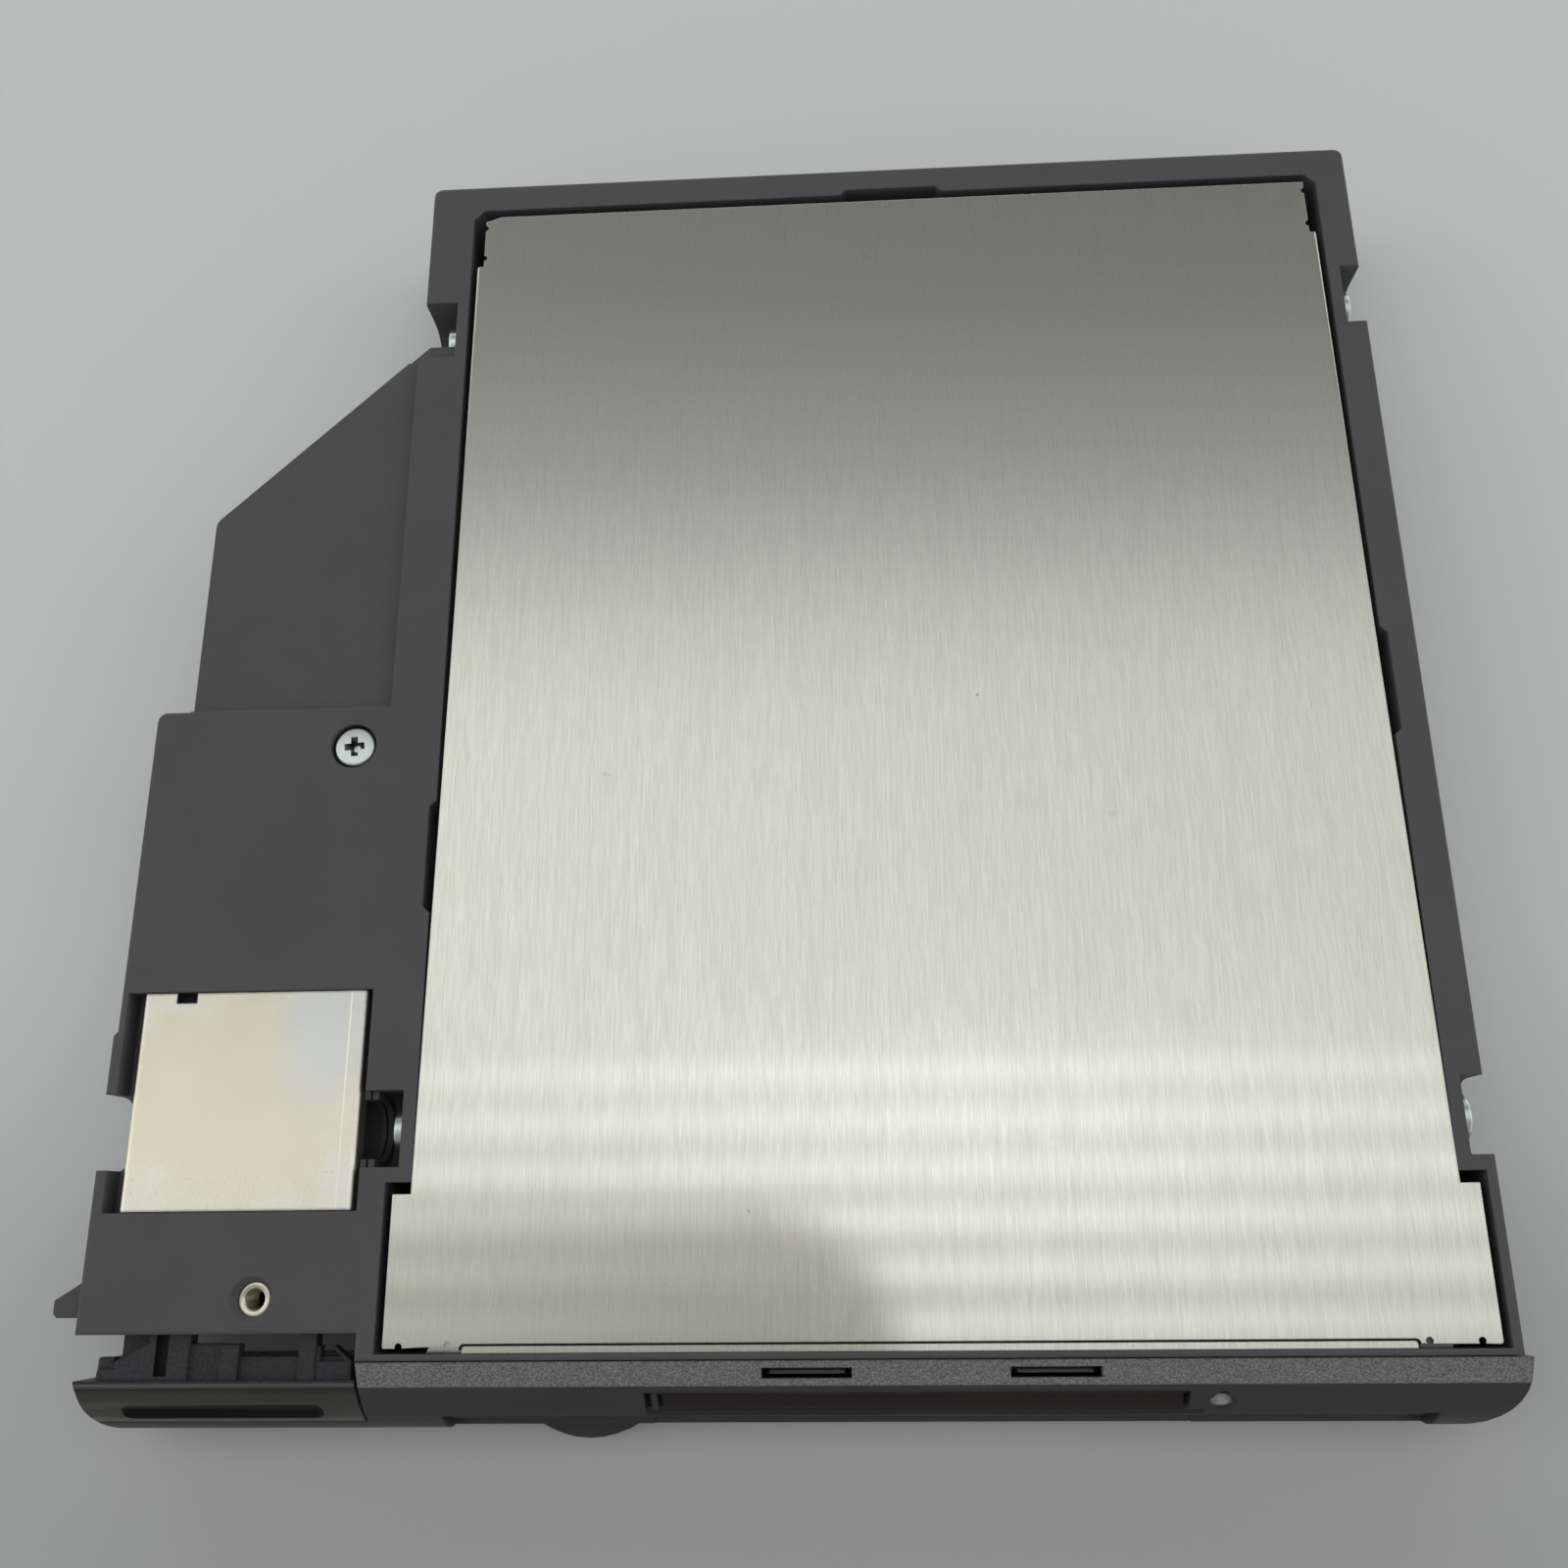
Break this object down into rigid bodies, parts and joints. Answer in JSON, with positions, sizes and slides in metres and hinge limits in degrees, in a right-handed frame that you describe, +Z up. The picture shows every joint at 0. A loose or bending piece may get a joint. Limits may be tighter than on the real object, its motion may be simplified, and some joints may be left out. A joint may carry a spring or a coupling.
{
  "type": "laptop floppy drive module",
  "caption": "Slim slide-in floppy disk drive for a portable computer bay, with curved bezel, hinged slot door, eject button, side release lever with hook, and rear docking connector.",
  "frame": {"origin": "middle of the module's outline, on the face it rests on", "axes": "+X from the release lever's side towards the plain side, +Y from the bezel towards the docking connector, +Z up through the brushed cover plate"},
  "size_m": [0.1368, 0.1372, 0.0145],
  "materials": {
    "moulded_dark": "finely grained",
    "bezel_paint": "soft satin with fine flecks",
    "door_plastic": "satin",
    "black_plastic": "satin",
    "white_plastic": "smooth",
    "clear_lens": "translucent",
    "brushed_sheet": "brushed along Y",
    "tin_sheet": "tin plated",
    "zinc_steel": "zinc plated",
    "nickel_metal": "nickel plated",
    "spring_steel": "drawn wire",
    "cast_metal": "die cast",
    "copper_wire": "enamelled winding",
    "gold_plate": "plated",
    "board_green": "solder mask"
  },
  "bodies": {
    "module": {"carrier_frame": "moulded_dark", "lower_cover": "moulded_dark", "cover_plate": "brushed_sheet", "drive_cover": "brushed_sheet", "shield_cover": "tin_sheet", "wing_screw": "zinc_steel", "threaded_insert": "nickel_metal", "side_screw_left_front": "zinc_steel", "side_screw_left_rear": "zinc_steel", "side_screw_right_front": "zinc_steel", "side_screw_right_rear": "zinc_steel", "bezel": "bezel_paint", "lamp_lens": "clear_lens", "latch_spring": "spring_steel", "drive_chassis": "cast_metal", "motor_base": "zinc_steel", "motor_stator": "copper_wire", "spindle_bushing": "gold_plate", "stepper_motor": "zinc_steel", "guide_rod": "spring_steel", "drive_board": "board_green", "dock_board": "board_green", "controller_chip": "black_plastic", "flat_cable": "white_plastic", "dock_connector": "black_plastic", "dock_contacts": "gold_plate"},
    "lever": {"release_lever": "bezel_paint"},
    "hook": {"latch_hook": "moulded_dark"},
    "door": {"slot_door": "door_plastic"},
    "eject": {"eject_slider": "zinc_steel", "eject_button": "bezel_paint"},
    "cage": {"disk_cage": "zinc_steel"},
    "shutter": {"shutter_lever": "zinc_steel"},
    "rotor": {"spindle_rotor": "zinc_steel"},
    "screw": {"lead_screw": "spring_steel"},
    "carriage": {"head_carriage": "black_plastic", "lower_head": "white_plastic"},
    "arm": {"upper_head_arm": "zinc_steel", "upper_head": "white_plastic"}
  },
  "joints": [
    {"name": "lever_slide", "type": "slide", "parent": "module", "child": "lever", "axis": [0, -1, 0], "range_m": [0, 0.0052], "stiffness_N_per_m": 60, "springref_m": -0.002},
    {"name": "hook_slide", "type": "slide", "parent": "module", "child": "hook", "axis": [1, 0, 0], "range_m": [0, 0.003], "deforming": ["latch_spring"]},
    {"name": "door_hinge", "type": "hinge", "parent": "module", "child": "door", "pos_m": [0.01448, -0.06352, 0.01105], "axis": [1, 0, 0], "range_deg": [0, 75], "stiffness_Nm_per_rad": 0.002, "springref_deg": -17.19},
    {"name": "eject_slide", "type": "slide", "parent": "module", "child": "eject", "axis": [0, -1, 0], "range_m": [0, 0.0035]},
    {"name": "cage_lift", "type": "slide", "parent": "module", "child": "cage", "axis": [0, 0, 1], "range_m": [0, 0.0017]},
    {"name": "shutter_swing", "type": "hinge", "parent": "cage", "child": "shutter", "pos_m": [-0.01845, 0.03279, 0.0033], "axis": [0, 0, 1], "range_deg": [0, 50], "stiffness_Nm_per_rad": 0.001, "springref_deg": -17.19},
    {"name": "spindle_spin", "type": "hinge", "parent": "module", "child": "rotor", "pos_m": [0.01555, -0.01622, 0.0115], "axis": [0, 0, 1], "continuous": true},
    {"name": "carriage_slide", "type": "slide", "parent": "module", "child": "carriage", "axis": [0, -1, 0], "range_m": [0, 0.0156]},
    {"name": "lead_screw_spin", "type": "hinge", "parent": "module", "child": "screw", "pos_m": [-0.00295, 0.03599, 0.011], "axis": [0, 1, 0], "range_deg": [0, 1872.5]},
    {"name": "arm_lift", "type": "hinge", "parent": "carriage", "child": "arm", "pos_m": [0.01555, 0.04768, 0.0034], "axis": [-1, 0, 0], "range_deg": [0, 10]}
  ],
  "couplings": [
    {"joint": "hook_slide", "follows": "lever_slide", "ratio": 0.5769},
    {"joint": "cage_lift", "follows": "eject_slide", "ratio": 0.4857},
    {"joint": "arm_lift", "follows": "eject_slide", "rad_per_m": 49.8},
    {"joint": "lead_screw_spin", "follows": "carriage_slide", "rad_per_m": 2094.4}
  ]
}
